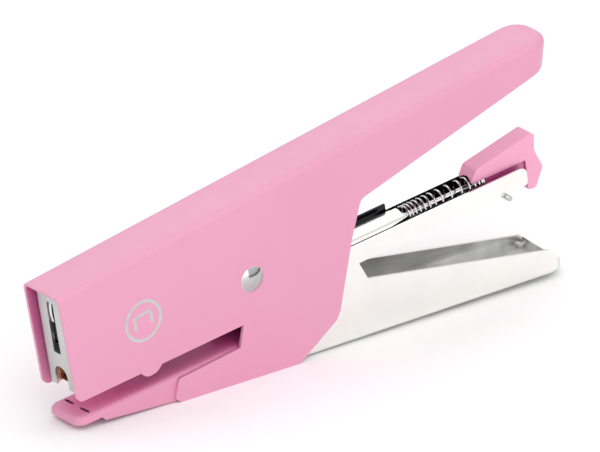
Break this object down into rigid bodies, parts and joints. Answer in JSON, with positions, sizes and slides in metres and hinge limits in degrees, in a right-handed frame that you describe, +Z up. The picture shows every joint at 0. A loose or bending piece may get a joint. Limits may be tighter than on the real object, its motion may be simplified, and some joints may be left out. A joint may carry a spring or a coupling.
{
  "type": "plier stapler",
  "caption": "One-hand plier stapler: pink pressed-steel casing with anvil jaw, nickel lower handle, swinging magazine and spring pusher.",
  "frame": {"origin": "on the surface that it stands on, halfway along its length, on the middle plane between its sides", "axes": "+X from the nose to the handles, +Z up, Y across the width, mirror plane Y = 0"},
  "size_m": [0.1766, 0.0186, 0.0735],
  "materials": {
    "painted_steel": "satin pink paint",
    "nickel": "bright nickel plate",
    "satin_nickel": "satin nickel plate",
    "zinc_steel": "zinc-plated steel",
    "blade_steel": "blued hardened steel",
    "spring_steel": "bright spring wire",
    "copper": "copper-coated steel wire",
    "pink_plastic": "moulded pink plastic"
  },
  "bodies": {
    "casing": {"casing": "painted_steel", "anvil_arm": "painted_steel", "pivot_rivet": "nickel", "pivot_bush": "nickel"},
    "lower_handle": {"lower_handle": "nickel", "driver_arm": "zinc_steel", "arm_rivet": "zinc_steel"},
    "magazine": {"magazine": "nickel", "front_plate": "satin_nickel", "leaf_spring": "spring_steel", "staple_core": "nickel", "staple_strip": "copper", "latch_pin": "nickel", "return_spring": "spring_steel"},
    "driver": {"driver_blade": "blade_steel"},
    "pusher": {"guide_rod": "spring_steel", "rod_stop": "zinc_steel", "knob": "pink_plastic", "pusher_spring": "spring_steel"},
    "follower": {"follower": "nickel"}
  },
  "joints": [
    {"name": "handle_squeeze", "type": "hinge", "parent": "casing", "child": "lower_handle", "pos_m": [-0.0228, 0, 0.0296], "axis": [0, -1, 0], "range_deg": [0, 11.6], "stiffness_Nm_per_rad": 0.9, "springref_deg": -20.05, "deforming": ["return_spring"]},
    {"name": "magazine_swing", "type": "hinge", "parent": "casing", "child": "magazine", "pos_m": [-0.0228, 0, 0.0296], "axis": [0, -1, 0], "range_deg": [0, 5.2]},
    {"name": "driver_drop", "type": "slide", "parent": "magazine", "child": "driver", "axis": [0.1771, 0, -0.9842], "range_m": [0, 0.007]},
    {"name": "knob_pull", "type": "slide", "parent": "magazine", "child": "pusher", "axis": [0.9921, 0, 0.1253], "range_m": [0, 0.09]},
    {"name": "follower_travel", "type": "slide", "parent": "pusher", "child": "follower", "axis": [0.9921, 0, 0.1253], "range_m": [0, 0.012], "stiffness_N_per_m": 60, "springref_m": -0.02, "deforming": ["pusher_spring"]}
  ],
  "couplings": [
    {"joint": "magazine_swing", "follows": "handle_squeeze", "ratio": 0.4482},
    {"joint": "driver_drop", "follows": "handle_squeeze", "m_per_rad": 0.03433}
  ]
}
